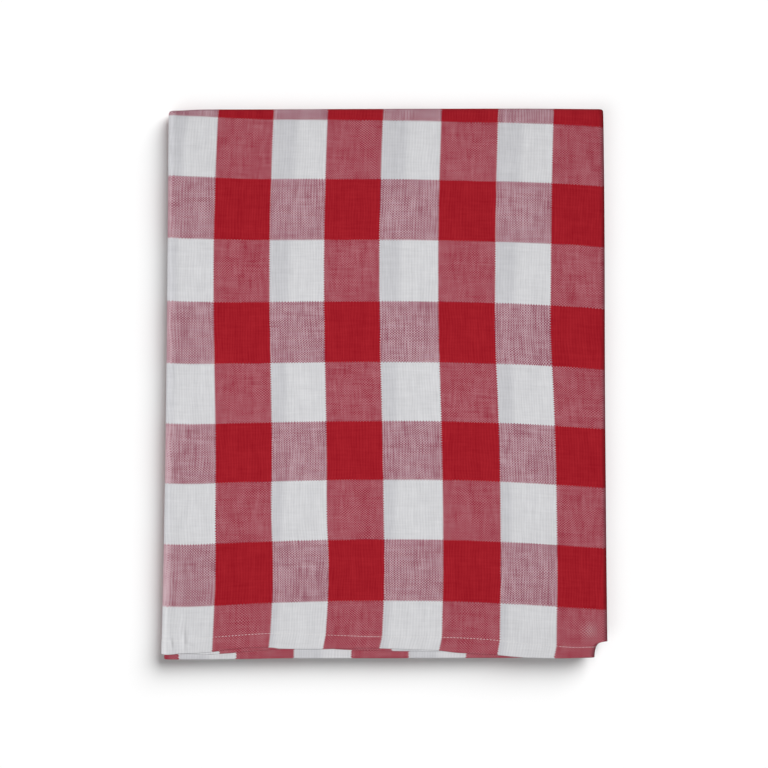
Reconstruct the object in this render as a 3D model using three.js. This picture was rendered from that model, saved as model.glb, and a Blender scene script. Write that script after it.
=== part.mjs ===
// A checked cotton tablecloth, hemmed all round and folded flat for the shelf.
// It is one sheet: folded in four along its length, and the pack of four layers folded in four again
// across its width. Millimetres, +Z up. The hemmed ends lie at the front, -Y, the first folds at the
// back, +Y, and the spine that wraps the whole pile at the left, -X. The sheet rests flat on Z = 0.
import * as THREE from "three";

// Driving sizes
const FOLDED_WIDTH = 406;
const FOLDED_LENGTH = 501;
const SHEET = 1.0;
const LAYER_GAP = 0.3;
const HEM_DEPTH = 12.3;
const SPINE_REACH = 7;
const PANELS = 4;

// Sizes that follow from them
const LAYER_PITCH = SHEET + LAYER_GAP;
const PACK_PITCH = PANELS * LAYER_PITCH;
const OUTER_LEVEL = (PANELS - 1) / 2;
const PACK_HALF = OUTER_LEVEL * LAYER_PITCH + SHEET / 2;
const PILE_HALF = OUTER_LEVEL * PACK_PITCH + PACK_HALF;
const SIDE = FOLDED_WIDTH / 2;
const END = FOLDED_LENGTH / 2;

// A cloth folded in half and in half again: the level of each panel, in pitches from the middle, as the
// sheet is followed from its first edge. The second panel is on the far side, the last two lie between.
const BOOK_LEVELS = [OUTER_LEVEL, -OUTER_LEVEL, -0.5, 0.5];
const BEND_STEPS = [8, 5, 5];

// The bend that wraps the others, as a share of its half height: round along the length, where four thin
// layers turn, and pressed flatter at the spine, where the whole pile turns.
const ROUND_BEND = 1;
const SPINE_BEND = (SPINE_REACH - PACK_HALF) / (OUTER_LEVEL * PACK_PITCH);

// Where a panel is divided between its folds, as shares of it. Along the length the first steps mark
// the hem's depth and the end of the tuck beside it.
const TUCK_EASE = 2;
const HEM_SHARE = HEM_DEPTH / FOLDED_LENGTH;
const EASED_SHARE = (HEM_DEPTH + TUCK_EASE) / FOLDED_LENGTH;
const LENGTH_STEPS = [0, HEM_SHARE, EASED_SHARE, 0.2, 0.36, 0.52, 0.68, 0.84, 1];
const WIDTH_STEPS = [0, 0.14, 0.28, 0.42, 0.57, 0.71, 0.85, 1];

// The pile tapers towards the back and its sides bow a little: where they lie at each depth.
const SIDES = [
  { y: -250, left: -203.0, right: 203.0 },
  { y: -150, left: -200.7, right: 201.4 },
  { y: 0, left: -198.4, right: 200.2 },
  { y: 150, left: -197.0, right: 199.7 },
  { y: 250, left: -196.2, right: 199.3 },
];

// The cloth's ends don't quite meet the folded length. Each row is a place across the opened width, in
// panels from the first side edge, and says how far each edge there stops short of the front or back.
const ENDS = [
  { panels: 0.0, topHem: 4.0, underHem: 5.5, frontFold: 1.6, backFold: 1.4 },
  { panels: 0.5, topHem: 6.0, underHem: 4.5, frontFold: 2.2, backFold: 1.0 },
  { panels: 1.0, topHem: 4.3, underHem: 3.6, frontFold: 0.4, backFold: 2.2 },
  { panels: 1.06, topHem: 6.2, underHem: 5.2, frontFold: 0.3, backFold: 1.2 },
  { panels: 1.15, topHem: 8.4, underHem: 6.4, frontFold: 0.6, backFold: 1.0 },
  { panels: 1.27, topHem: 10.8, underHem: 7.4, frontFold: 1.3, backFold: 0.9 },
  { panels: 1.4, topHem: 10.2, underHem: 7.0, frontFold: 1.4, backFold: 0.6 },
  { panels: 1.64, topHem: 7.4, underHem: 5.8, frontFold: 1.6, backFold: 0.3 },
  { panels: 1.78, topHem: 3.8, underHem: 4.2, frontFold: 1.8, backFold: 0.2 },
  { panels: 1.9, topHem: 1.6, underHem: 3.2, frontFold: 2.4, backFold: 0.4 },
  { panels: 2.0, topHem: 2.2, underHem: 3.6, frontFold: 3.0, backFold: 0.8 },
  { panels: 2.5, topHem: 4.6, underHem: 3.4, frontFold: 1.0, backFold: 1.6 },
  { panels: 3.0, topHem: 5.4, underHem: 4.6, frontFold: 1.9, backFold: 1.8 },
  { panels: 3.5, topHem: 3.2, underHem: 5.0, frontFold: 1.2, backFold: 1.2 },
  { panels: 4.0, topHem: 4.8, underHem: 3.8, frontFold: 2.0, backFold: 1.6 },
];

// The first folds are not quite square, so each lies askew: how far the cloth has slipped sideways at
// the hems and at the folds along its length.
const SLIPS = [
  { panels: 0, slip: 0 },
  { panels: 1, slip: 0 },
  { panels: 2, slip: 17 },
  { panels: 3, slip: 10 },
  { panels: 4, slip: 3 },
];

// The two side edges of the cloth lie in the pile at the right, this far short of the fold there where
// the cloth has not slipped.
const FIRST_EDGE_SHORT = 3.5;
const LAST_EDGE_SHORT = 20;

// At the right the stiff hemmed corner is tucked in, and the strain dies out over this length.
const TUCK = 10;
const TUCK_REACH = 60;

// The pile stands higher along its folds than in its middle, by these shares of its height.
const SIDE_SPRING = 0.04;
const BACK_SPRING = 0.03;

// A smooth value from a table: a cubic through its rows, with slopes taken from the rows on either side.
function smoothColumn(table, key, name, at) {
  const last = table.length - 1;
  const clamped = THREE.MathUtils.clamp(at, table[0][key], table[last][key]);
  let row = 0;
  while (row < last - 1 && table[row + 1][key] <= clamped) {
    row += 1;
  }
  const slope = (i) => {
    const before = table[Math.max(i - 1, 0)];
    const after = table[Math.min(i + 1, last)];
    return (after[name] - before[name]) / (after[key] - before[key]);
  };
  const from = table[row];
  const to = table[row + 1];
  const span = to[key] - from[key];
  const t = (clamped - from[key]) / span;
  const rise = to[name] - from[name];
  const start = slope(row) * span;
  const finish = slope(row + 1) * span;
  return from[name] + t * (start + t * (3 * rise - 2 * start - finish + t * (start + finish - 2 * rise)));
}

// The section of a book fold, as stations along the sheet. Each has its place between the near end (0)
// and the far end (1) of its panel, its reach past that end on a bend, its height, its normal, and how
// many panels of cloth lie before it. A bend is half an ellipse about the middle of the levels it joins.
function bookFold(pitch, steps, wrapShape) {
  const stations = [];
  for (let panel = 0; panel < PANELS; panel += 1) {
    const outward = panel % 2 === 0;
    const away = outward ? 1 : -1;
    const level = BOOK_LEVELS[panel] * pitch;
    for (const place of outward ? steps : [...steps].reverse()) {
      const panels = panel + (outward ? place : 1 - place);
      stations.push({ panel, panels, place, reach: 0, height: level, normal: [0, away] });
    }
    if (panel === PANELS - 1) {
      break;
    }
    const next = BOOK_LEVELS[panel + 1] * pitch;
    const half = (next - level) / 2;
    const reach = away * Math.abs(half) * (panel === 0 ? wrapShape : ROUND_BEND);
    const facing = -Math.sign(half) * away;
    for (let step = 1; step < BEND_STEPS[panel]; step += 1) {
      const angle = Math.PI * step / BEND_STEPS[panel];
      const out = new THREE.Vector2(Math.sin(angle) / reach, -Math.cos(angle) / half).normalize();
      stations.push({
        panel,
        panels: panel + 1,
        place: outward ? 1 : 0,
        reach: reach * Math.sin(angle),
        height: level + half - half * Math.cos(angle),
        normal: [facing * out.x, facing * out.y],
      });
    }
  }
  return stations;
}

// Where a panel's ends lie along the length, at one place across the cloth.
function lengthEnds(panel, panels) {
  const short = (name) => smoothColumn(ENDS, "panels", name, panels);
  const foldFront = short("frontFold") + (LAYER_PITCH + SHEET) / 2;
  const fronts = [short("topHem"), foldFront, foldFront, short("underHem")];
  return { front: fronts[panel] - END, back: END - short("backFold") - PACK_HALF };
}

// Where a panel's ends lie across the width: the spine and the bend inside it at the left, and at the
// right the fold or a side edge, which is out by as much as the cloth has slipped there.
function widthEnds(panel, slip) {
  const bendHalf = PACK_PITCH / 2 + PACK_HALF;
  const spine = SPINE_REACH - SIDE;
  const inner = 2 * PACK_HALF + LAYER_GAP + bendHalf - SIDE;
  const fold = SIDE - bendHalf;
  return [
    { left: spine, right: SIDE - FIRST_EDGE_SHORT - slip },
    { left: spine, right: fold },
    { left: inner, right: fold },
    { left: inner, right: SIDE - LAST_EDGE_SHORT + slip },
  ][panel];
}

// Moves a point of the straight pile to where the used cloth lies: within its tapering sides, with the
// hemmed corner at the right tucked in and the folds standing a little proud.
function settle(point, share) {
  const left = smoothColumn(SIDES, "y", "left", point.y);
  const right = smoothColumn(SIDES, "y", "right", point.y);
  const near = THREE.MathUtils.smoothstep(point.x, SIDE - TUCK_REACH, SIDE - PACK_PITCH);
  const tucked = 1 - THREE.MathUtils.smoothstep(share, HEM_SHARE, EASED_SHARE);
  const spring = SIDE_SPRING * (point.x / SIDE) ** 4 + BACK_SPRING * Math.max(point.y / END, 0) ** 4;
  const across = (point.x + SIDE) / FOLDED_WIDTH;
  point.x = THREE.MathUtils.lerp(left, right, across) - TUCK * near * tucked;
  point.z *= 1 + spring;
}

// Folds a flat sheet: its grid's rows go through the fold along the length, which is made first, and its
// columns carry that pack through the fold across the width. The pile is then turned over, left for
// right, so that the panel with a fold at either side lies on top.
function foldedSheet() {
  const rows = bookFold(LAYER_PITCH, LENGTH_STEPS, ROUND_BEND);
  const columns = bookFold(PACK_PITCH, WIDTH_STEPS, SPINE_BEND);
  const wide = columns.length - 1;
  const long = rows.length - 1;
  const geometry = new THREE.BoxGeometry(wide, long, SHEET, wide, long, 1);
  const grid = geometry.attributes.position;
  const point = new THREE.Vector3();
  for (let i = 0; i < grid.count; i += 1) {
    point.fromBufferAttribute(grid, i);
    const column = columns[Math.round(point.x + wide / 2)];
    const row = rows[Math.round(point.y + long / 2)];
    const side = point.z;
    const depth = lengthEnds(row.panel, column.panels);
    const width = widthEnds(column.panel, smoothColumn(SLIPS, "panels", "slip", row.panels));
    const lift = row.height + row.normal[1] * side;
    point.y = THREE.MathUtils.lerp(depth.front, depth.back, row.place) + row.reach + row.normal[0] * side;
    point.x = THREE.MathUtils.lerp(width.right, width.left, column.place);
    point.x -= column.reach + column.normal[0] * lift;
    point.z = PILE_HALF - column.height - column.normal[1] * lift;
    settle(point, row.place);
    grid.setXYZ(i, point.x, point.y, point.z);
  }
  geometry.computeBoundingBox();
  const box = geometry.boundingBox;
  geometry.translate(-(box.min.x + box.max.x) / 2, -(box.min.y + box.max.y) / 2, -box.min.z);
  geometry.computeVertexNormals();
  return geometry;
}

const cloth = new THREE.Mesh(
  foldedSheet(),
  new THREE.MeshStandardMaterial({ color: 0xae6f77, roughness: 0.9, metalness: 0 }),
);
cloth.name = "tablecloth";

const tablecloth = new THREE.Group();
tablecloth.add(cloth);

export default tablecloth;
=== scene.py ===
import math

import bpy
import numpy as np
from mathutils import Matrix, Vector


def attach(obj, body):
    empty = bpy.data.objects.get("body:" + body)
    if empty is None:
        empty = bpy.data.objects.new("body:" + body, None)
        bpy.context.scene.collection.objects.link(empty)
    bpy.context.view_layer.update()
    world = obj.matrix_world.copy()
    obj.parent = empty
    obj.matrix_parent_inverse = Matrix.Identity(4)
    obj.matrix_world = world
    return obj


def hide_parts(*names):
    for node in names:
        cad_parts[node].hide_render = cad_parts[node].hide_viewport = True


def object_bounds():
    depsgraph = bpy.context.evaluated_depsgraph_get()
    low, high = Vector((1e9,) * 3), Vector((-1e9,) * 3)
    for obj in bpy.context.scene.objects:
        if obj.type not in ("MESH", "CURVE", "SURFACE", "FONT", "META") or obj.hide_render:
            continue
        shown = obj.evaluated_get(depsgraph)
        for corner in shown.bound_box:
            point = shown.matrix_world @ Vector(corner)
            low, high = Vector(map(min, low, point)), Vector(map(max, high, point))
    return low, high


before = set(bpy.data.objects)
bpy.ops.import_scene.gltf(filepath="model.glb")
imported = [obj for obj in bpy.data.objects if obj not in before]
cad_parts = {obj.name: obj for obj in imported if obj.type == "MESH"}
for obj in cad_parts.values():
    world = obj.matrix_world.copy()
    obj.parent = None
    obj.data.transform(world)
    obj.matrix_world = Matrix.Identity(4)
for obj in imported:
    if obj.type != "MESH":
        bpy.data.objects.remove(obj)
cad_low, cad_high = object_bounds()


# The cloth
# One panel of plain-woven cotton, checked in dyed yarns and hemmed all round. It is folded in four along
# its length, the pack of layers is folded in four again across its width, and the pile is turned over.
# Sizes are in millimetres, +X along the folded width and +Y from the hems to the first folds.
MM = 0.001
FOLDED_WIDTH = 406.0
FOLDED_LENGTH = 501.0
LAYER_PITCH = 1.3
LAYER_ROOM = 1.0
LAYER_GAP = LAYER_PITCH - LAYER_ROOM
SPINE_REACH = 7.0
PANELS = 4
PACK_PITCH = PANELS * LAYER_PITCH
OUTER_LEVEL = (PANELS - 1) / 2
PACK_HALF = OUTER_LEVEL * LAYER_PITCH + LAYER_ROOM / 2
PILE_HALF = OUTER_LEVEL * PACK_PITCH + PACK_HALF
SIDE = FOLDED_WIDTH / 2
END = FOLDED_LENGTH / 2

# The level of each panel of a book fold, in pitches from the middle, as the sheet is followed, and how far
# a bend reaches for its half height: a round one, and the flatter one of the spine.
BOOK_LEVELS = (OUTER_LEVEL, -OUTER_LEVEL, -0.5, 0.5)
ROUND_BEND = 1.0
SPINE_BEND = (SPINE_REACH - PACK_HALF) / (OUTER_LEVEL * PACK_PITCH)

# The cotton is thin, and three layers of it make the turned hem, which ends just past its seam.
CLOTH_HALF = 0.38
HEM_HALF = 0.54
HEM_LIP = 1.0
HEM_STEP = 0.9
EDGE_REACH = 0.7 * HEM_HALF
SIDE_SEAM = 11.7


def columns_of(names, *rows):
    """A table written row by row, as a dictionary of its named columns."""
    return dict(zip(names.split(), np.array(rows, dtype=float).T))


# The pile tapers towards the back and its sides bow: where they lie at each depth.
SIDES = columns_of(
    "y left right",
    (-250, -203.0, 203.2),
    (-150, -200.7, 202.1),
    (0, -198.4, 200.9),
    (150, -197.0, 200.4),
    (250, -196.2, 199.3),
)

# How far the folds stop short of the folded length, at places across the opened width in panels.
FOLDS = columns_of(
    "panels front back",
    (0.0, 1.6, 1.4),
    (0.5, 2.2, 1.0),
    (1.0, 0.4, 2.2),
    (1.06, 0.3, 1.2),
    (1.15, 0.6, 1.0),
    (1.27, 1.3, 0.9),
    (1.4, 1.4, 0.6),
    (1.64, 1.6, 0.3),
    (1.78, 1.8, 0.2),
    (1.9, 2.4, 0.4),
    (2.0, 3.0, 0.8),
    (2.5, 1.0, 1.6),
    (3.0, 1.9, 1.8),
    (3.5, 1.2, 1.2),
    (4.0, 2.0, 1.6),
)

# How far the hems stop short, and how deep they are turned, at the same places.
HEMS = columns_of(
    "panels top under seam",
    (0.0, 4.0, 5.5, 11.7),
    (0.5, 6.0, 4.5, 12.4),
    (1.0, 5.6, 6.4, 12.2),
    (1.03, 6.6, 6.4, 12.3),
    (1.06, 6.9, 6.0, 13.1),
    (1.09, 7.6, 5.4, 13.4),
    (1.12, 9.1, 6.2, 12.9),
    (1.155, 11.0, 7.2, 12.0),
    (1.19, 11.7, 8.6, 12.3),
    (1.235, 12.1, 9.7, 12.9),
    (1.26, 11.1, 10.6, 14.1),
    (1.29, 10.8, 11.2, 14.0),
    (1.35, 10.7, 11.2, 13.0),
    (1.4, 11.2, 10.1, 11.8),
    (1.46, 11.4, 9.1, 10.7),
    (1.5, 11.2, 8.8, 10.6),
    (1.56, 10.2, 8.5, 11.5),
    (1.62, 9.5, 8.5, 12.0),
    (1.66, 7.6, 8.2, 13.4),
    (1.71, 6.3, 7.4, 13.7),
    (1.755, 5.4, 6.2, 13.2),
    (1.79, 4.0, 5.2, 13.1),
    (1.83, 2.9, 4.2, 12.4),
    (1.9, 2.3, 3.4, 10.8),
    (1.96, 2.6, 3.5, 9.3),
    (2.0, 3.0, 3.6, 9.4),
    (2.5, 4.6, 3.4, 11.0),
    (3.0, 5.4, 4.6, 11.9),
    (3.5, 3.2, 5.0, 11.7),
    (4.0, 4.8, 3.8, 11.5),
)

# How far the edges and the skewed check slipped sideways, at places along the length in panels.
SLIPS = columns_of("panels edges check", (0, 0, 0), (1, 0, 0), (2, 17, 21.8), (3, 10, 14), (4, 3, 6.6))
FIRST_EDGE_SHORT = 3.5
LAST_EDGE_SHORT = 20.0

# The stiff hemmed corner at the right is tucked in. The pile is higher along its folds, and rounds off at
# the back.
TUCK = 12.0
TUCK_REACH = 60.0
TUCK_DEPTH = 13.8
TUCK_ROUNDING = 0.26
SIDE_SPRING = 0.04
BACK_SPRING = 0.03
BACK_ROUND = 0.18
BACK_ROUND_REACH = 20.0

# The top layer isn't quite flat: soft swells, a wavy hem and one pucker near the tucked corner.
SWELL_HEIGHT = 0.35
SWELL_LENGTHS = (118.0, 163.0)
SWELL_SLANTS = (0.35, 0.2)
HEM_WAVE = 0.12
HEM_WAVE_LENGTH = 21.0
HEM_WAVE_REACH = 12.3
HEM_WAVE_DRIFT = 1.7
HEM_WAVE_DRIFT_REACH = 47.0
PUCKER_AT = (186.5, -223.5)
PUCKER_SIZE = 7.0
PUCKER_HEIGHT = 0.9

# The relief fades out over these shares of the panel: at the fold, at the spine and at the back.
RELIEF_FADES = (0.08, 0.06, 0.06)

# Creases that stand up in the top layer near the spine: middle, half length and width, turn and height.
CREASES = columns_of(
    "x y length width turn_deg height",
    (-180.8, -230, 11.0, 1.5, 91, 1.3),
    (-183.8, -224, 6.5, 1.4, 89, 0.9),
    (-192.6, -235, 5.5, 1.5, 100, 1.4),
    (-174, -238, 8.0, 2.0, -24, 1.2),
)


def smooth_column(table, name, at):
    """A cubic through the table's rows, whose slope at a row is that between its two neighbours."""
    key = table[list(table)[0]]
    value = table[name]
    last = len(key) - 1
    at = np.clip(at, key[0], key[last])
    index = np.arange(last + 1)
    before = np.maximum(index - 1, 0)
    after = np.minimum(index + 1, last)
    slope = (value[after] - value[before]) / (key[after] - key[before])
    row = np.clip(np.searchsorted(key, at, side="right") - 1, 0, last - 1)
    span = key[row + 1] - key[row]
    t = (at - key[row]) / span
    rise = value[row + 1] - value[row]
    start = slope[row] * span
    finish = slope[row + 1] * span
    return value[row] + t * (start + t * (3 * rise - 2 * start - finish + t * (start + finish - 2 * rise)))


def smoothstep(low, high, value):
    """0 up to low and 1 from high on, with the cubic 3t2 - 2t3 between."""
    t = np.clip((value - low) / (high - low), 0.0, 1.0)
    return t * t * (3 - 2 * t)


def lerp(first, second, share):
    """The point a given share of the way from first to second."""
    return first + (second - first) * share


def book_fold(pitch, places, bend_steps, wrap_shape):
    """Section of a sheet folded in half and in half again, as arrays along the sheet.

    Straight panels lie at the book levels times the pitch. Consecutive panels are joined by half an
    ellipse about the middle of their levels. A station has its panel, the panels of cloth before it, its
    place from the near (0) to the far end (1), its reach past that end, its height and its normal.
    """
    parts = []
    for panel in range(PANELS):
        outward = panel % 2 == 0
        away = 1.0 if outward else -1.0
        level = BOOK_LEVELS[panel] * pitch
        place = places[panel] if outward else places[panel][::-1]
        flat = np.zeros_like(place)
        before = panel + (place if outward else 1 - place)
        parts.append((flat + panel, before, place, flat, flat + level, flat, flat + away))
        if panel == PANELS - 1:
            break
        half = (BOOK_LEVELS[panel + 1] - BOOK_LEVELS[panel]) * pitch / 2
        reach = away * abs(half) * (wrap_shape if panel == 0 else ROUND_BEND)
        angle = np.linspace(0, np.pi, bend_steps[panel] + 1)[1:-1]
        flat = np.zeros_like(angle)
        facing = -np.sign(half) * away
        out = facing * np.sin(angle) / reach
        up = -facing * np.cos(angle) / half
        size = np.hypot(out, up)
        height = level + half - half * np.cos(angle)
        end = flat + (1.0 if outward else 0.0)
        past_end = reach * np.sin(angle)
        parts.append((flat + panel, flat + panel + 1, end, past_end, height, out / size, up / size))
    names = ("panel", "panels", "place", "reach", "height", "out", "up")
    return {name: np.concatenate([part[i] for part in parts]) for i, name in enumerate(names)}


def width_ends(panel, slip):
    """The right and left ends of each panel across the width: side edges, fold, spine and inner bend."""
    bend_half = PACK_PITCH / 2 + PACK_HALF
    fold = SIDE - bend_half
    right = np.choose(panel, (SIDE - FIRST_EDGE_SHORT - slip, fold, fold, SIDE - LAST_EDGE_SHORT + slip))
    left = np.where(panel < 2, SPINE_REACH - SIDE, 2 * PACK_HALF + LAYER_GAP + bend_half - SIDE)
    return right, left


def length_ends(panel, panels):
    """The front and back ends of each panel along the length: hems at the front, folds at either end."""
    fold = smooth_column(FOLDS, "front", panels) + (LAYER_PITCH + LAYER_ROOM) / 2
    top_hem = smooth_column(HEMS, "top", panels)
    under_hem = smooth_column(HEMS, "under", panels)
    front = np.choose(panel, (top_hem, fold, fold, under_hem)) - END
    back = END - smooth_column(FOLDS, "back", panels) - PACK_HALF
    return front, back


def top_relief(x, y, share):
    """Height added to the top layer: two crossed swells, a wave that dies out from the hem, one pucker."""
    swell = np.sin(2 * np.pi * (x + SWELL_SLANTS[0] * y) / SWELL_LENGTHS[0])
    swell = swell * np.sin(2 * np.pi * (y - SWELL_SLANTS[1] * x) / SWELL_LENGTHS[1])
    hem = np.exp(-share * FOLDED_LENGTH / HEM_WAVE_REACH)
    drift = HEM_WAVE_DRIFT * np.sin(x / HEM_WAVE_DRIFT_REACH)
    wave = np.sin(2 * np.pi * x / HEM_WAVE_LENGTH + drift)
    pucker = np.exp(-((x - PUCKER_AT[0]) ** 2 + (y - PUCKER_AT[1]) ** 2) / PUCKER_SIZE**2)
    return SWELL_HEIGHT * (1 + swell) / 2 + HEM_WAVE * (1 + wave) * hem + PUCKER_HEIGHT * pucker


def crease_relief(x, y):
    """Height of the creases: each a ridge exp(-(along/length)2 - (across/width)2), turned in place."""
    height = 0.0
    for at_x, at_y, length, width, turn_deg, rise in zip(*CREASES.values()):
        turn = math.radians(turn_deg)
        along = (x - at_x) * math.cos(turn) + (y - at_y) * math.sin(turn)
        across = (y - at_y) * math.cos(turn) - (x - at_x) * math.sin(turn)
        height = height + rise * np.exp(-((along / length) ** 2) - (across / width) ** 2)
    return height


def tuck_in(straight, place):
    """How far the hemmed corner is drawn in: more to the right, and by (1 - depth2)**n over the hem."""
    near = smoothstep(SIDE - TUCK_REACH, SIDE - PACK_PITCH, straight)
    depth = np.minimum(place * FOLDED_LENGTH / TUCK_DEPTH, 1)
    return TUCK * near * (1 - depth**2) ** TUCK_ROUNDING


def lay_cloth(column, row, offset):
    """Points of the settled cloth, in millimetres, and the x of each on a straight-sided pile.

    A row station goes through the fold along the length, and the column station carries that pack through
    the fold across the width. The pile is turned over, drawn into its tapering sides, tucked in at the
    hemmed corner, raised along its folds and rounded off at the back. Offset is the distance from the
    middle of the cloth.
    """
    column_panel = column["panel"].astype(int)
    row_panel = row["panel"].astype(int)
    slip = smooth_column(SLIPS, "edges", row["panels"])
    right, left = width_ends(column_panel, slip)
    front, back = length_ends(row_panel, column["panels"])
    lift = row["height"] + row["up"] * offset
    y = lerp(front, back, row["place"]) + row["reach"] + row["out"] * offset
    straight = lerp(right, left, column["place"]) - column["reach"] - column["out"] * lift
    z = PILE_HALF - column["height"] - column["up"] * lift
    across = (straight + SIDE) / FOLDED_WIDTH
    x = lerp(smooth_column(SIDES, "left", y), smooth_column(SIDES, "right", y), across)
    x = x - tuck_in(straight, row["place"])
    past = np.clip(1 + (y - END) / BACK_ROUND_REACH, 0, 1)
    spring = SIDE_SPRING * (straight / SIDE) ** 4 + BACK_SPRING * np.maximum(y / END, 0) ** 4
    z = z * (1 + spring - BACK_ROUND * past**2)
    on_top = (column_panel == 1) & (row_panel == 0) & (column["reach"] == 0) & (row["reach"] == 0)
    at_fold, at_spine, at_back = RELIEF_FADES
    inside = smoothstep(0, at_fold, column["place"]) * smoothstep(0, at_spine, 1 - column["place"])
    inside = inside * smoothstep(0, at_back, 1 - row["place"]) * on_top
    z = z + inside * top_relief(x, y, row["place"]) + on_top * crease_relief(x, y)
    return np.stack(np.broadcast_arrays(x, y, z), axis=-1), np.broadcast_to(straight, z.shape)


def stations(first, *stretches):
    """Places along a panel: the first ones, then stretches of even steps, each by its end and steps."""
    places = [np.asarray(first, dtype=float)]
    for end, steps in stretches:
        places.append(np.linspace(places[-1][-1], end, steps + 1)[1:])
    return np.concatenate(places)


def as_columns(section):
    """A section's stations as arrays that run down the grid."""
    return {name: value[:, None] for name, value in section.items()}


def as_rows(section):
    """A section's stations as arrays that run across the grid."""
    return {name: value[None, :] for name, value in section.items()}


def run_along(place, height):
    """Length of the section up to each of its points: the sum of the steps between them."""
    return np.concatenate(([0], np.cumsum(np.hypot(np.diff(place), np.diff(height)))))


# The grid is close across the hems, at the sides and front of the top panel, and wide where layers hide.
HEM_STATIONS = np.concatenate(((0, 0.5, 1.5, 3.5, 5.5, 7.0), np.arange(8.0, 17.0, 0.8)))
width_places = (
    stations(HEM_STATIONS / FOLDED_WIDTH, (1, 8)),
    stations([0], (0.08, 14), (0.93, 76), (1, 26)),
    stations([0], (1, 14)),
    stations(HEM_STATIONS / FOLDED_WIDTH, (1, 8)),
)
length_places = (
    stations(HEM_STATIONS / FOLDED_LENGTH, (0.09, 18), (1, 96)),
    stations([0], (1, 14)),
    stations([0], (1, 14)),
    stations(HEM_STATIONS / FOLDED_LENGTH, (1, 8)),
)
width_fold = book_fold(PACK_PITCH, width_places, (22, 12, 10), SPINE_BEND)
length_fold = book_fold(LAYER_PITCH, length_places, (12, 8, 8), ROUND_BEND)
column = as_columns(width_fold)
row = as_rows(length_fold)

# Distances over the opened cloth, from its first side edge and its first hem.
NO_SLIP = 0.0
PLAIN_FRONT = 8.0
flat_right, flat_left = width_ends(width_fold["panel"].astype(int), NO_SLIP)
section_x = -lerp(flat_right, flat_left, width_fold["place"]) + width_fold["reach"]
across_cloth = run_along(section_x, width_fold["height"])
section_y = length_fold["place"] * (FOLDED_LENGTH - PLAIN_FRONT - PACK_HALF) + length_fold["reach"]
along_cloth = run_along(section_y, length_fold["height"])
cloth_width = across_cloth[-1]
cloth_length = along_cloth[-1]

# Thickness: the hem's three layers, and the groove that its stitches pull in both faces.
GROOVE_DEPTH = 0.16
GROOVE_HALF = 0.8
from_side = np.minimum(across_cloth, cloth_width - across_cloth)[:, None]
from_hem = np.minimum(along_cloth, cloth_length - along_cloth)[None, :]
hem_seam = smooth_column(HEMS, "seam", column["panels"])
past_seam = np.minimum(from_side - SIDE_SEAM, from_hem - hem_seam)
half = lerp(HEM_HALF, CLOTH_HALF, smoothstep(HEM_LIP, HEM_LIP + HEM_STEP, past_seam))
half = half - GROOVE_DEPTH * np.exp(-((past_seam / GROOVE_HALF) ** 2))
face, straight_x = lay_cloth(column, row, half)
back, _ = lay_cloth(column, row, -half)
settle_down = min(face[..., 2].min(), back[..., 2].min())

# The check: where its first lines lie, and how the weaving and the folding let them wander.
COLUMN_WIDTH = 52.1
ROW_HEIGHT = 54.7
FIRST_COLUMN_LINE = -155.8
FIRST_ROW_LINE = 44.5
SWAY = 1.75
SWAY_LENGTH = 480.0
HEM_SKEW = 2.0
HEM_SKEW_FROM = (-150.0, -40.0)
ROW_WANDER = 1.27
ROW_WANDER_LENGTH = 306.0
ROW_WANDER_AT = 39.0

# What pulls the top layer's check dies out just past the first fold, this many panels along the length.
TOP_LAYER_END = 1.3

# Where the columns of the top layer crowd or are pulled aside: by how much, where and over what reach.
PULLS = columns_of(
    "shift x y reach_x reach_y",
    (3.3, -20, 0, 58, 2000),
    (-1.9, -60, -178, 75, 45),
    (1.3, -100, -115, 60, 40),
    (1.3, 130, 47, 60, 40),
    (0.8, 153, 0, 28, 2000),
    (-1.8, 185, -223, 7, 7),
)

# How the rows slant and bow: how far each place across the width is shifted at the front and at the back,
# and how much more in the middle.
ROW_SHIFTS = columns_of(
    "x front back middle",
    (-200, 4.2, -6.3, 0.8),
    (-175, 4.2, -4.0, 0.8),
    (-127, 1.3, -1.0, 0.3),
    (-77, -0.6, -0.2, 0.1),
    (-28, -1.6, 0.5, -0.1),
    (25, -1.7, 1.3, -0.4),
    (76, -0.6, 2.8, -0.9),
    (127, 2.3, 3.8, -1.1),
    (176, 5.4, 5.3, -0.8),
    (200, 6.6, 7.0, -0.7),
)


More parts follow.
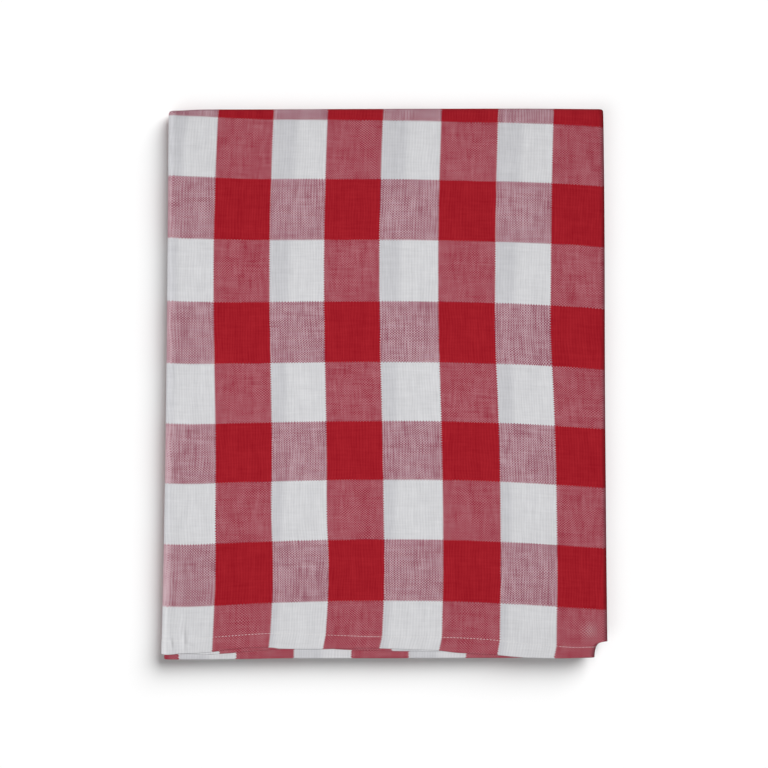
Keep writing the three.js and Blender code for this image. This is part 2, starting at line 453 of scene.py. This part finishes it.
def check_places(straight, y):
    """Where each point lies in the check, in millimetres past a column line and a row line.

    Across, it is the length over the cloth less the slip and the tuck, plus a sine along y where columns
    sway, a smooth hump exp(-r2) for each pull and a skew that grows from the seam to the hem's edge. Along,
    it is the length over the cloth, kept straight where the top hem isn't, plus the rows' shift, which
    bows by 4p(1 - p) from front to back, less a sine by which they are uneven.
    """
    top_panel = (width_fold["panel"] == 1) & (width_fold["reach"] == 0)
    top_x = (across_cloth - np.mean((across_cloth + section_x)[top_panel]))[:, None]
    top_layer = 1 - smoothstep(1, TOP_LAYER_END, row["panels"])
    across = top_x - FIRST_COLUMN_LINE - smooth_column(SLIPS, "check", row["panels"])
    across = across + SWAY * np.sin(2 * np.pi * y / SWAY_LENGTH)
    for shift, at_x, at_y, reach_x, reach_y in zip(*PULLS.values()):
        hump = np.exp(-(((top_x - at_x) / reach_x) ** 2) - ((y - at_y) / reach_y) ** 2)
        across = across + shift * hump * top_layer
    skew = HEM_SKEW * np.clip(1 - from_hem / hem_seam, 0, 1) * smoothstep(*HEM_SKEW_FROM, top_x)
    across = across + (skew - tuck_in(straight, row["place"])) * top_layer
    front_shift = smooth_column(ROW_SHIFTS, "front", top_x)
    back_shift = smooth_column(ROW_SHIFTS, "back", top_x)
    hem_short = (smooth_column(HEMS, "top", column["panels"]) - PLAIN_FRONT) * (row["panels"] < 1)
    bow = smooth_column(ROW_SHIFTS, "middle", top_x) * 4 * row["place"] * (1 - row["place"])
    shift = lerp(front_shift + hem_short, back_shift, row["place"]) + bow
    wander = ROW_WANDER * np.sin(2 * np.pi * (along_cloth - ROW_WANDER_AT) / ROW_WANDER_LENGTH)
    along = (along_cloth - wander)[None, :] - FIRST_ROW_LINE + shift
    return np.stack((across, along), axis=-1)


# Warp yarns bulge open over the spine, most towards the front: a share of that for each point.
SPINE_FADE = 9.0
SPINE_FRONT = -190.0
SPINE_BACK = 110.0
SPINE_LEAST = 0.35


def spine_share(straight, y):
    """1 on the spine's bend and 0 a fade's length from it, growing from the back to the front."""
    beside = 1 - smoothstep(0, SPINE_FADE, straight + SIDE - SPINE_REACH / 2)
    return beside * lerp(SPINE_LEAST, 1.0, 1 - smoothstep(SPINE_FRONT, SPINE_BACK, y))


def pucker_share(face_points):
    """1 on the pucker of the top layer, fading by exp(-r2) over its size."""
    x, y, z = np.moveaxis(face_points, -1, 0)
    beside = ((x - PUCKER_AT[0]) ** 2 + (y - PUCKER_AT[1]) ** 2) / PUCKER_SIZE**2
    return np.exp(-beside) * (z > PILE_HALF - LAYER_PITCH)


def sheet_faces(columns, rows):
    """Faces of a closed sheet: its face and back grids, and two strips to a rim line between them.

    The vertices are the face's grid, the back's grid, and the rim in order round the edge.
    """
    grid = np.arange(columns * rows).reshape(columns, rows)
    quads = np.stack((grid[:-1, :-1], grid[1:, :-1], grid[1:, 1:], grid[:-1, 1:]), axis=-1).reshape(-1, 4)
    edge = np.concatenate((grid[:-1, 0], grid[-1, :-1], grid[:0:-1, -1], grid[0, :0:-1]))
    following = np.roll(edge, -1)
    count = columns * rows
    rim = 2 * count + np.arange(len(edge))
    rim_following = np.roll(rim, -1)
    upper = np.stack((rim, rim_following, following, edge), axis=-1)
    lower = np.stack((edge + count, following + count, rim_following, rim), axis=-1)
    return np.concatenate((quads, quads[:, ::-1] + count, upper, lower)), edge


def edge_rim(middle, edge, reach):
    """Points on the edge's rim: the edge's middle, carried on away from the nearest points inside it."""
    columns, rows = middle.shape[:2]
    at_column, at_row = np.unravel_index(edge, (columns, rows))
    inner = middle[np.clip(at_column, 1, columns - 2), np.clip(at_row, 1, rows - 2)]
    out = middle[at_column, at_row] - inner
    return middle[at_column, at_row] + reach * out / np.linalg.norm(out, axis=-1, keepdims=True)


def mesh_object(name, points, faces):
    """A smooth-shaded mesh of the given points, in millimetres, and faces, settled on the floor."""
    mesh = bpy.data.meshes.new(name)
    mesh.from_pydata((points - (0, 0, settle_down)) * MM, [], faces)
    mesh.polygons.foreach_set("use_smooth", np.ones(len(mesh.polygons), dtype=bool))
    mesh.update()
    piece = bpy.data.objects.new(name, mesh)
    bpy.context.scene.collection.objects.link(piece)
    return piece


faces, edge = sheet_faces(*face.shape[:2])
rim = edge_rim((face + back) / 2, edge, EDGE_REACH)
points = np.concatenate((face.reshape(-1, 3), back.reshape(-1, 3), rim))
tablecloth = mesh_object("folded_tablecloth", points, faces)

places = check_places(straight_x, face[..., 1]).reshape(-1, 2)
spine = spine_share(straight_x, face[..., 1]).ravel()
weave_map = tablecloth.data.uv_layers.new(name="weave")
corner = np.empty(len(tablecloth.data.loops), dtype=np.int32)
tablecloth.data.loops.foreach_get("vertex_index", corner)
weave_places = np.concatenate((places, places, places[edge])) * MM
weave_map.data.foreach_set("uv", weave_places[corner].astype(np.float32).ravel())
pucker = pucker_share(face).ravel()
for name, value in (("spine_wear", spine), ("pucker_wear", pucker)):
    wear = tablecloth.data.attributes.new(name, "FLOAT", "POINT")
    wear.data.foreach_set("value", np.concatenate((value, value, value[edge])).astype(np.float32))

# Yarns: bleached and red cotton, set by count within a column and a row of the check.
WARPS_IN_COLUMN = 42
WEFTS_IN_ROW = 52
BLEACHED = ((0.595, 0.595, 0.613, 1), (0.755, 0.755, 0.773, 1))
GREY_BLEACHED = (0.872, 0.872, 0.885, 1)
RED = ((0.297, 0.0042, 0.0125, 1), (0.413, 0.0158, 0.0255, 1))

# Where red and bleached yarns cross, each shows through the other and is darkened with painted shade of the
# recessed yarns: the look where weft, then warp, is over.
RED_WARPS_SHOWN_AND_SHADED = ((0.474, 0.170, 0.200, 1), (0.278, 0.006, 0.026, 1))
RED_WEFTS_SHOWN_AND_SHADED = ((0.243, 0.037, 0.074, 1), (0.583, 0.407, 0.446, 1))

# How much warp shows: half of it, more or less at each crossing, by pairs in the reed, and at the spine.
CROSSING_SHARE = 0.76
CROSSING_STEP = 0.6
CROSSING_PATCHES = 2.6
PATCHES_PER_YARN = 0.09
PATCHES_SEED = 6.4
REED_SHARE = 0.16
SPINE_SHARE = 0.42

# On the pucker the crossings are plainer by this share, with this much more of the bleached wefts.
PUCKER_CROSSING = 1.5
PUCKER_FLOATS = 0.28

# Yarns wander by about a quarter of this many yarns to either side: bends per warp and weft, and a seed.
YARN_WANDER = 4.0
WARP_BENDS = (0.06, 0.03, 2.2)
WEFT_BENDS = (0.03, 0.06, 7.3)

# Unevenness along the yarns: features in each warp and each weft, the noise's place and its amount.
STREAKS = columns_of(
    "per_warp per_weft seed amount",
    (0.14, 0.022, 3.1, 0.34),
    (0.35, 0.05, 5.7, 0.4),
    (0.75, 0.08, 4.6, 0.6),
    (0.022, 0.14, 8.7, 0.22),
    (0.05, 0.35, 1.9, 0.35),
    (0.08, 0.75, 9.2, 0.5),
)

# The first warps of each bleached column are greyer: what share of it, how that grows to the back, the most
# that it can be, and how softly it ends.
GREY_WARPS = 0.145
GREY_WARPS_GROW = 0.0395
GREY_WARPS_MOST = 0.5
GREY_WARPS_FADE = (-0.09, 0.07)


def wire(tree, socket, value):
    """Sets a node's socket to a number or colour, or links another node's output to it."""
    if isinstance(value, bpy.types.NodeSocket):
        tree.links.new(value, socket)
    else:
        socket.default_value = value


def math_of(tree, operation, first, second=0.0):
    """The value of an operation on one or two numbers or sockets."""
    node = tree.nodes.new("ShaderNodeMath")
    node.operation = operation
    wire(tree, node.inputs[0], first)
    wire(tree, node.inputs[1], second)
    return node.outputs[0]


def ramp_of(tree, value, low, high, to_low=0.0, to_high=1.0):
    """A smooth step from one value to another as the input goes from low to high."""
    node = tree.nodes.new("ShaderNodeMapRange")
    node.interpolation_type = "SMOOTHSTEP"
    for socket, number in zip(node.inputs, (value, low, high, to_low, to_high)):
        wire(tree, socket, number)
    return node.outputs[0]


def colour_of(tree, blend, share, first, second):
    """Two colours mixed or multiplied by a share."""
    node = tree.nodes.new("ShaderNodeMix")
    node.data_type = "RGBA"
    node.blend_type = blend
    wire(tree, node.inputs["Factor"], share)
    wire(tree, node.inputs[6], first)
    wire(tree, node.inputs[7], second)
    return node.outputs[2]


def spread_of(tree, across, along, seed):
    """A noise about 0, mostly from -0.25 to 0.25, over two scaled places."""
    place = tree.nodes.new("ShaderNodeCombineXYZ")
    for socket, value in zip(place.inputs, (across, along, seed)):
        wire(tree, socket, value)
    node = tree.nodes.new("ShaderNodeTexNoise")
    node.inputs["Scale"].default_value = 1.0
    node.inputs["Detail"].default_value = 1.0
    tree.links.new(place.outputs[0], node.inputs["Vector"])
    return math_of(tree, "SUBTRACT", node.outputs["Fac"], 0.5)


def total_of(tree, *values):
    """The sum of several values."""
    total = values[0]
    for value in values[1:]:
        total = math_of(tree, "ADD", total, value)
    return total


def wear_of(tree, name):
    """The value of one of the cloth's own attributes."""
    node = tree.nodes.new("ShaderNodeAttribute")
    node.attribute_name = name
    return node.outputs["Fac"]


def yarn_streaks(tree, warp, weft):
    """Unevenness that runs along the yarns: slow and fine noises, long along a yarn and short across it."""
    streaks = []
    for per_warp, per_weft, seed, amount in zip(*STREAKS.values()):
        place = (math_of(tree, "MULTIPLY", warp, per_warp), math_of(tree, "MULTIPLY", weft, per_weft))
        streaks.append(math_of(tree, "MULTIPLY", spread_of(tree, *place, seed), amount))
    return total_of(tree, *streaks)


def yarn_wave(tree, warp, weft, count, per_warp, per_weft, seed):
    """1 and -1 in turn at the middles of the yarns, which wander a little as they go."""
    place = (math_of(tree, "MULTIPLY", warp, per_warp), math_of(tree, "MULTIPLY", weft, per_weft))
    wander = math_of(tree, "MULTIPLY", spread_of(tree, *place, seed), YARN_WANDER)
    return math_of(tree, "SINE", math_of(tree, "MULTIPLY", math_of(tree, "ADD", count, wander), math.pi))


def crossings(tree, crossing, warp, weft):
    """Above 0 where a warp is over and below where a weft is, plainer in some patches than in others."""
    place = [math_of(tree, "MULTIPLY", count, PATCHES_PER_YARN) for count in (warp, weft)]
    patches = math_of(tree, "MULTIPLY", spread_of(tree, *place, PATCHES_SEED), CROSSING_PATCHES)
    over = ramp_of(tree, crossing, -CROSSING_STEP, CROSSING_STEP, -CROSSING_SHARE / 2, CROSSING_SHARE / 2)
    return math_of(tree, "MULTIPLY", over, math_of(tree, "ADD", patches, 1.0))


def red_yarns(tree, count, other_wave, yarns):
    """1 in every second column or row, with its edge stepping half a yarn as the other yarns cross it."""
    step = math_of(tree, "MULTIPLY", other_wave, 0.5 / yarns)
    parity = math_of(tree, "FLOORED_MODULO", math_of(tree, "FLOOR", math_of(tree, "ADD", count, step)), 2.0)
    return math_of(tree, "SUBTRACT", 1.0, parity)


def grey_warps(tree, column_count, row_count):
    """1 over the first warps of each bleached column, with a soft end that lies further in at the back."""
    within = math_of(tree, "FLOORED_MODULO", column_count, 1.0)
    end = math_of(tree, "ADD", math_of(tree, "MULTIPLY", row_count, GREY_WARPS_GROW), GREY_WARPS)
    end = math_of(tree, "MINIMUM", math_of(tree, "MAXIMUM", end, 0.0), GREY_WARPS_MOST)
    return ramp_of(tree, math_of(tree, "SUBTRACT", within, end), *GREY_WARPS_FADE, 1.0, 0.0)


def checked_cotton():
    """Plain weave: a warp yarn is over where sine times sine of the two yarn counts is above 0.

    A yarn is red in every second column or row. Where the two colours cross, the share of warp that shows
    is a half, plus the crossing, the reed's pairs, the yarns' streaks and the opening at the spine. On the
    pucker the crossings are plainer, with more of the bleached wefts.
    """
    material = bpy.data.materials.new("checked cotton")
    material.use_nodes = True
    tree = material.node_tree
    shader = tree.nodes["Principled BSDF"]
    place = tree.nodes.new("ShaderNodeUVMap")
    place.uv_map = "weave"
    parts = tree.nodes.new("ShaderNodeSeparateXYZ")
    tree.links.new(place.outputs[0], parts.inputs[0])
    column_count = math_of(tree, "DIVIDE", parts.outputs[0], COLUMN_WIDTH * MM)
    row_count = math_of(tree, "DIVIDE", parts.outputs[1], ROW_HEIGHT * MM)
    warp = math_of(tree, "MULTIPLY", column_count, WARPS_IN_COLUMN)
    weft = math_of(tree, "MULTIPLY", row_count, WEFTS_IN_ROW)
    warp_wave = yarn_wave(tree, warp, weft, warp, *WARP_BENDS)
    weft_wave = yarn_wave(tree, warp, weft, weft, *WEFT_BENDS)
    crossing = math_of(tree, "MULTIPLY", warp_wave, weft_wave)
    warp_red = red_yarns(tree, column_count, weft_wave, WARPS_IN_COLUMN)
    weft_red = red_yarns(tree, row_count, warp_wave, WEFTS_IN_ROW)
    warp_bleached = math_of(tree, "SUBTRACT", 1.0, warp_red)

    streaks = yarn_streaks(tree, warp, weft)
    reed = math_of(tree, "MULTIPLY", warp_wave, REED_SHARE)
    pucker = wear_of(tree, "pucker_wear")
    over = crossings(tree, crossing, warp, weft)
    plainer = math_of(tree, "ADD", math_of(tree, "MULTIPLY", pucker, PUCKER_CROSSING), 1.0)
    over = math_of(tree, "MULTIPLY", over, plainer)
    opened = math_of(tree, "MULTIPLY", wear_of(tree, "spine_wear"), SPINE_SHARE)
    share = total_of(tree, over, streaks, math_of(tree, "MULTIPLY", reed, warp_bleached), opened, 0.5)
    tone = total_of(tree, streaks, reed, 0.5)
    red = colour_of(tree, "MIX", tone, *RED)
    bleached = colour_of(tree, "MIX", tone, *BLEACHED)
    grey = grey_warps(tree, column_count, row_count)
    bleached = colour_of(tree, "MULTIPLY", grey, bleached, GREY_BLEACHED)
    floats = math_of(tree, "MULTIPLY", pucker, PUCKER_FLOATS)
    # The crossing colours hold painted shade of the recessed yarns as well as the dyes showing through.
    shaded_weft_over = colour_of(tree, "MIX", floats, RED_WARPS_SHOWN_AND_SHADED[0], BLEACHED[1])
    shaded_crossed_red_warps = colour_of(tree, "MIX", share, shaded_weft_over, RED_WARPS_SHOWN_AND_SHADED[1])
    shaded_crossed_red_wefts = colour_of(tree, "MIX", share, *RED_WEFTS_SHOWN_AND_SHADED)
    on_red_warps = colour_of(tree, "MIX", weft_red, shaded_crossed_red_warps, red)
    on_bleached_warps = colour_of(tree, "MIX", weft_red, bleached, shaded_crossed_red_wefts)
    shown = colour_of(tree, "MIX", warp_red, on_bleached_warps, on_red_warps)
    tree.links.new(shown, shader.inputs["Base Color"])

    bump = tree.nodes.new("ShaderNodeBump")
    bump.inputs["Strength"].default_value = 0.3
    bump.inputs["Distance"].default_value = 0.15 * MM
    tree.links.new(math_of(tree, "ABSOLUTE", crossing), bump.inputs["Height"])
    tree.links.new(bump.outputs[0], shader.inputs["Normal"])
    shader.inputs["Roughness"].default_value = 0.92
    shader.inputs["Specular IOR Level"].default_value = 0.08
    shader.inputs["Sheen Weight"].default_value = 0.03
    shader.inputs["Sheen Roughness"].default_value = 0.6
    return material


tablecloth.data.materials.append(checked_cotton())
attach(tablecloth, "root")
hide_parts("tablecloth")


# The hem stitching
# One lockstitch line of white sewing thread near the inner edge of each turned hem, on both faces. Each
# stitch is a short thread that dips into the cloth at its two ends.
STITCH_PITCH = 3.0
STITCH_RADIUS = 0.3
STITCH_RISE = -0.14
STITCH_SIDES = 5
STITCH_ALONG = (-0.44, -0.2, 0.2, 0.44)
STITCH_THICKNESS = (0.45, 1.0, 1.0, 0.45)
STITCH_DROP = (-0.16, 0.0, 0.0, -0.16)
SEAM_STEPS = 500
THREAD = ((0.64, 0.63, 0.63, 1), (0.88, 0.87, 0.86, 1))
THREAD_GRAIN = 2400.0


def edge_station(panel, pitch, inset):
    """A station on a book fold's first or last panel, a share of the panel in from its free edge."""
    flat = np.zeros_like(inset)
    return {
        "panel": flat + panel,
        "panels": inset if panel == 0 else PANELS - inset,
        "place": inset,
        "reach": flat,
        "height": flat + BOOK_LEVELS[panel] * pitch,
        "out": flat,
        "up": flat + (1.0 if panel == 0 else -1.0),
    }


def stitches_along(path, normal):
    """Rings of points of stitches on a line: even steps of its length, a round section about each."""
    length = np.concatenate(([0], np.cumsum(np.linalg.norm(np.diff(path, axis=0), axis=-1))))
    start = np.arange(STITCH_PITCH, length[-1] - STITCH_PITCH, STITCH_PITCH)
    at = start[:, None] + STITCH_PITCH * np.array(STITCH_ALONG)

    def along(values):
        return np.stack([np.interp(at, length, values[:, axis]) for axis in range(3)], axis=-1)

    centre = along(path)
    up = along(normal)
    up = up / np.linalg.norm(up, axis=-1, keepdims=True)
    ahead = centre[:, -1:] - centre[:, :1]
    ahead = ahead / np.linalg.norm(ahead, axis=-1, keepdims=True)
    aside = np.cross(ahead, up)
    angle = 2 * np.pi * np.arange(STITCH_SIDES) / STITCH_SIDES
    radius = STITCH_RADIUS * np.array(STITCH_THICKNESS)[None, :, None, None]
    section = aside[:, :, None] * np.cos(angle)[:, None] + up[:, :, None] * np.sin(angle)[:, None]
    rise = (STITCH_RISE + np.array(STITCH_DROP))[None, :, None, None] * up[:, :, None]
    return centre[:, :, None] + rise + radius * section


def stitch_faces(count):
    """Faces of that many stitches: bands between their rings, and a cap at either end."""
    rings = len(STITCH_ALONG)
    point = np.arange(count * rings * STITCH_SIDES).reshape(count, rings, STITCH_SIDES)
    turned = np.roll(point, -1, axis=2)
    bands = np.stack((point[:, :-1], turned[:, :-1], turned[:, 1:], point[:, 1:]), axis=-1).reshape(-1, 4)
    return bands.tolist() + point[:, 0, ::-1].tolist() + point[:, -1].tolist()


dense_places = (np.linspace(0, 1, SEAM_STEPS),) * PANELS
dense_width = book_fold(PACK_PITCH, dense_places, (40, 24, 20), SPINE_BEND)
dense_length = book_fold(LAYER_PITCH, dense_places, (20, 12, 12), ROUND_BEND)
hem_inset = smooth_column(HEMS, "seam", dense_width["panels"]) / FOLDED_LENGTH
side_inset = np.full_like(dense_length["place"], SIDE_SEAM / FOLDED_WIDTH)
lines = []
for panel in (0, PANELS - 1):
    lines.append((dense_width, edge_station(panel, LAYER_PITCH, hem_inset)))
    lines.append((edge_station(panel, PACK_PITCH, side_inset), dense_length))
seams = []
for across, along in lines:
    middle, _ = lay_cloth(across, along, 0.0)
    for side in (HEM_HALF - GROOVE_DEPTH, GROOVE_DEPTH - HEM_HALF):
        path, _ = lay_cloth(across, along, side)
        seams.append(stitches_along(path, path - middle))
stitches = np.concatenate(seams)
stitching = mesh_object("hem_stitching", stitches.reshape(-1, 3), stitch_faces(len(stitches)))


def white_thread():
    """White cotton thread: a fine uneven tone along it, matt, with a little fuzz."""
    material = bpy.data.materials.new("white thread")
    material.use_nodes = True
    tree = material.node_tree
    shader = tree.nodes["Principled BSDF"]
    place = tree.nodes.new("ShaderNodeTexCoord")
    parts = tree.nodes.new("ShaderNodeSeparateXYZ")
    tree.links.new(place.outputs["Object"], parts.inputs[0])
    across = math_of(tree, "MULTIPLY", parts.outputs[0], THREAD_GRAIN)
    along = math_of(tree, "MULTIPLY", parts.outputs[1], THREAD_GRAIN)
    tone = math_of(tree, "ADD", spread_of(tree, across, along, 1.3), 0.5)
    colour = colour_of(tree, "MIX", tone, *THREAD)
    tree.links.new(colour, shader.inputs["Base Color"])
    shader.inputs["Roughness"].default_value = 0.8
    shader.inputs["Specular IOR Level"].default_value = 0.2
    shader.inputs["Sheen Weight"].default_value = 0.1
    return material


stitching.data.materials.append(white_thread())
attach(stitching, "root")


# The floor
# A plain studio floor, wide enough to fill every view. It is white to the camera, and throws less light
# back at the sides of the cloth than so white a floor would.
FLOOR_HALF = 20.0
FLOOR_SEEN = (0.9, 0.9, 0.9, 1)
FLOOR_BOUNCE = (0.6, 0.6, 0.6, 1)
floor_mesh = bpy.data.meshes.new("floor")
floor_corners = FLOOR_HALF * np.array(((-1, -1, 0), (1, -1, 0), (1, 1, 0), (-1, 1, 0)), dtype=float)
floor_mesh.from_pydata(floor_corners, [], [(0, 1, 2, 3)])
floor = bpy.data.objects.new("floor", floor_mesh)
bpy.context.scene.collection.objects.link(floor)
floor_paint = bpy.data.materials.new("white floor")
floor_paint.use_nodes = True
floor_tree = floor_paint.node_tree
floor_shader = floor_tree.nodes["Principled BSDF"]
floor_seen = floor_tree.nodes.new("ShaderNodeLightPath").outputs["Is Camera Ray"]
floor_tone = colour_of(floor_tree, "MIX", floor_seen, FLOOR_BOUNCE, FLOOR_SEEN)
floor_tree.links.new(floor_tone, floor_shader.inputs["Base Color"])
floor_shader.inputs["Roughness"].default_value = 0.9
floor_shader.inputs["Specular IOR Level"].default_value = 0.0
floor_mesh.materials.append(floor_paint)


# The light
# A pale surround and, for the floor, a broad light from the back right and a weak fill opposite it, which
# lay the soft shadow round the pile. The cloth has a strip light close overhead and a light from the left.
SURROUND_SEEN = 0.9
SURROUND_LIGHT = 0.12
world = bpy.data.worlds.new("pale surround")
world.use_nodes = True
surround = world.node_tree.nodes["Background"]
surround.inputs["Color"].default_value = (1, 1, 1, 1)
seen = world.node_tree.nodes.new("ShaderNodeLightPath").outputs["Is Camera Ray"]
strength = math_of(world.node_tree, "MULTIPLY", seen, SURROUND_SEEN - SURROUND_LIGHT)
strength = math_of(world.node_tree, "ADD", strength, SURROUND_LIGHT)
world.node_tree.links.new(strength, surround.inputs["Strength"])
bpy.context.scene.world = world
bpy.context.scene.view_settings.view_transform = "Standard"


def light_for(pieces, lamp):
    """Places a lamp, out of the camera's sight, that lights the named pieces alone."""
    light = bpy.data.objects.new(lamp.name, lamp)
    light.visible_camera = False
    bpy.context.scene.collection.objects.link(light)
    lit = bpy.data.collections.new(lamp.name)
    for piece in pieces:
        lit.objects.link(piece)
    light.light_linking.receiver_collection = lit
    return light


def broad_light(name, strength, spread_deg, lean, pieces):
    """A distant light of that angular size, leaning from overhead by (x, y)."""
    lamp = bpy.data.lights.new(name, "SUN")
    lamp.energy = strength
    lamp.angle = math.radians(spread_deg)
    light = light_for(pieces, lamp)
    light.rotation_mode = "QUATERNION"
    light.rotation_quaternion = Vector((lean[0], lean[1], 1)).to_track_quat("Z", "Y")


def strip_light(name, watts, sides, location, pieces):
    """A flat light of two sides that faces down, near enough to fall off towards the ends of the pile."""
    lamp = bpy.data.lights.new(name, "AREA")
    lamp.energy = watts
    lamp.shape = "RECTANGLE"
    lamp.size, lamp.size_y = sides
    light_for(pieces, lamp).location = location


broad_light("floor light", 3.9, 46, (0.77, 0.88), [floor])
broad_light("floor fill", 0.8, 44, (-0.6, -0.5), [floor])
strip_light("overhead strip", 4.05, (0.9, 0.3), (-0.05, 0, 0.95), [tablecloth, stitching])
broad_light("left light", 1.9, 30, (-0.9, 0), [tablecloth, stitching])


# The camera
# It looks straight down on the middle of the pile, with the hems towards the bottom of the picture.
LENS = 85
SENSOR = 36
VIEW_WIDTH = 0.695
camera = bpy.data.objects.new("camera", bpy.data.cameras.new("camera"))
camera.data.lens = LENS
camera.data.sensor_width = SENSOR
camera.location = (0, 0, cad_high.z + VIEW_WIDTH * LENS / SENSOR)
bpy.context.scene.collection.objects.link(camera)
bpy.context.scene.camera = camera
